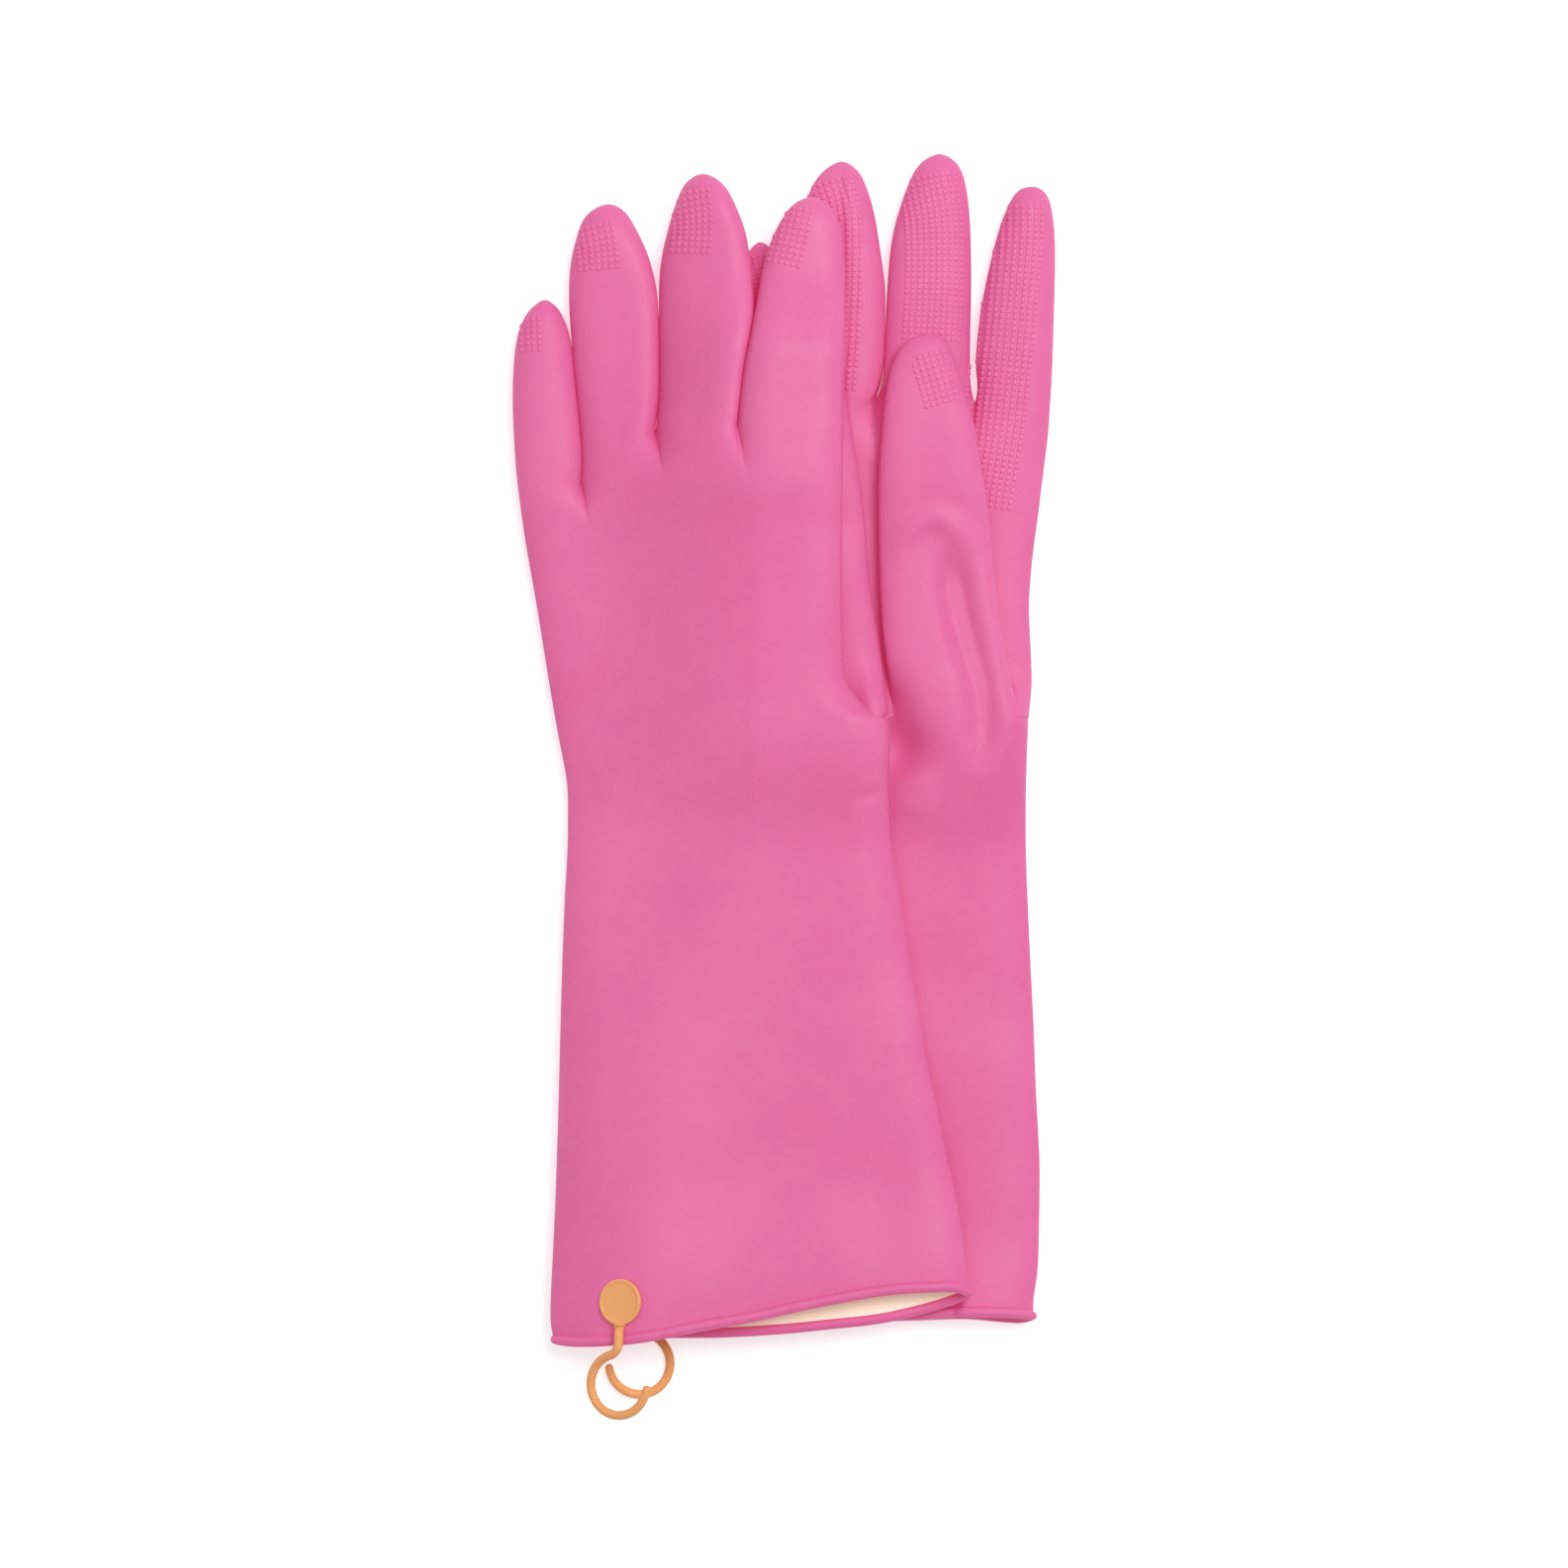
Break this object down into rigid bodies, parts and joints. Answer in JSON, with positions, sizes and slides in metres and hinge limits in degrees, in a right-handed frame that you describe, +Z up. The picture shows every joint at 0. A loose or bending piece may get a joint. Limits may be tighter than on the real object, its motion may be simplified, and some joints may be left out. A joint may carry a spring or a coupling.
{
  "type": "pair of rubber gloves",
  "caption": "Long household rubber gloves with rolled cuffs, pale linings, raised grip on the fingers and moulded hanging hooks, laid flat palm to palm.",
  "frame": {"origin": "on the table under the centre of the pair's outline", "axes": "+Y from the cuffs to the fingertips, +X from the little finger of the upper glove to its index finger, +Z up from the table"},
  "size_m": [0.179, 0.4138, 0.034],
  "materials": {
    "glove_rubber": "satin",
    "lining": "matte",
    "hook_rubber": "satin"
  },
  "bodies": {
    "right_glove": {"right_forearm": "glove_rubber", "right_wrist": "glove_rubber", "right_palm": "glove_rubber", "right_thumb": "glove_rubber", "right_little": "glove_rubber", "right_ring": "glove_rubber", "right_middle": "glove_rubber", "right_forearm_lining": "lining", "right_wrist_lining": "lining", "right_palm_lining": "lining", "right_thumb_lining": "lining", "right_little_lining": "lining", "right_ring_lining": "lining", "right_middle_lining": "lining", "right_rim": "glove_rubber", "right_hook_pad": "hook_rubber"},
    "right_index_finger": {"right_index": "glove_rubber", "right_index_lining": "lining"},
    "right_hook": {"right_hook_arm": "hook_rubber"},
    "left_glove": {"left_wrist": "glove_rubber", "left_palm": "glove_rubber", "left_thumb": "glove_rubber", "left_wrist_lining": "lining", "left_palm_lining": "lining", "left_thumb_lining": "lining"},
    "left_cuff": {"left_forearm": "glove_rubber", "left_forearm_lining": "lining", "left_rim": "glove_rubber", "left_hook_pad": "hook_rubber"},
    "left_little_finger": {"left_little": "glove_rubber", "left_little_lining": "lining"},
    "left_ring_finger": {"left_ring": "glove_rubber", "left_ring_lining": "lining"},
    "left_middle_finger": {"left_middle": "glove_rubber", "left_middle_lining": "lining"},
    "left_index_finger": {"left_index": "glove_rubber", "left_index_lining": "lining"},
    "left_hook": {"left_hook_arm": "hook_rubber"}
  },
  "joints": [
    {"name": "left_glove_lift", "type": "slide", "parent": "right_glove", "child": "left_glove", "axis": [0, 0, 1], "range_m": [0, 0.08]},
    {"name": "left_cuff_lift", "type": "hinge", "parent": "left_glove", "child": "left_cuff", "pos_m": [-0.018, -0.00285, 0.02489], "axis": [-1, 0, 0], "range_deg": [0, 50]},
    {"name": "left_little_lift", "type": "hinge", "parent": "left_glove", "child": "left_little_finger", "pos_m": [-0.0785, 0.09624, 0.01205], "axis": [1, 0, 0], "range_deg": [0, 60]},
    {"name": "left_ring_lift", "type": "hinge", "parent": "left_glove", "child": "left_ring_finger", "pos_m": [-0.05562, 0.10106, 0.01205], "axis": [1, 0, 0], "range_deg": [0, 60]},
    {"name": "left_middle_lift", "type": "hinge", "parent": "left_glove", "child": "left_middle_finger", "pos_m": [-0.0262, 0.11416, 0.02733], "axis": [1, 0, 0], "range_deg": [0, 60]},
    {"name": "left_index_lift", "type": "hinge", "parent": "left_glove", "child": "left_index_finger", "pos_m": [0.00308, 0.11615, 0.03405], "axis": [1, 0, 0], "range_deg": [0, 60]},
    {"name": "right_index_lift", "type": "hinge", "parent": "right_glove", "child": "right_index_finger", "pos_m": [0.07609, 0.11921, 0.01205], "axis": [1, 0, 0], "range_deg": [0, 50]},
    {"name": "left_hook_flex", "type": "hinge", "parent": "left_cuff", "child": "left_hook", "pos_m": [-0.0532, -0.17677, 0.02655], "axis": [-1, 0, 0], "range_deg": [0, 60], "stiffness_Nm_per_rad": 0.004},
    {"name": "right_hook_swing", "type": "hinge", "parent": "right_glove", "child": "right_hook", "pos_m": [-0.0472, -0.17189, 0.00324], "axis": [0, 0, 1], "range_deg": [-20, 20], "stiffness_Nm_per_rad": 0.004}
  ]
}
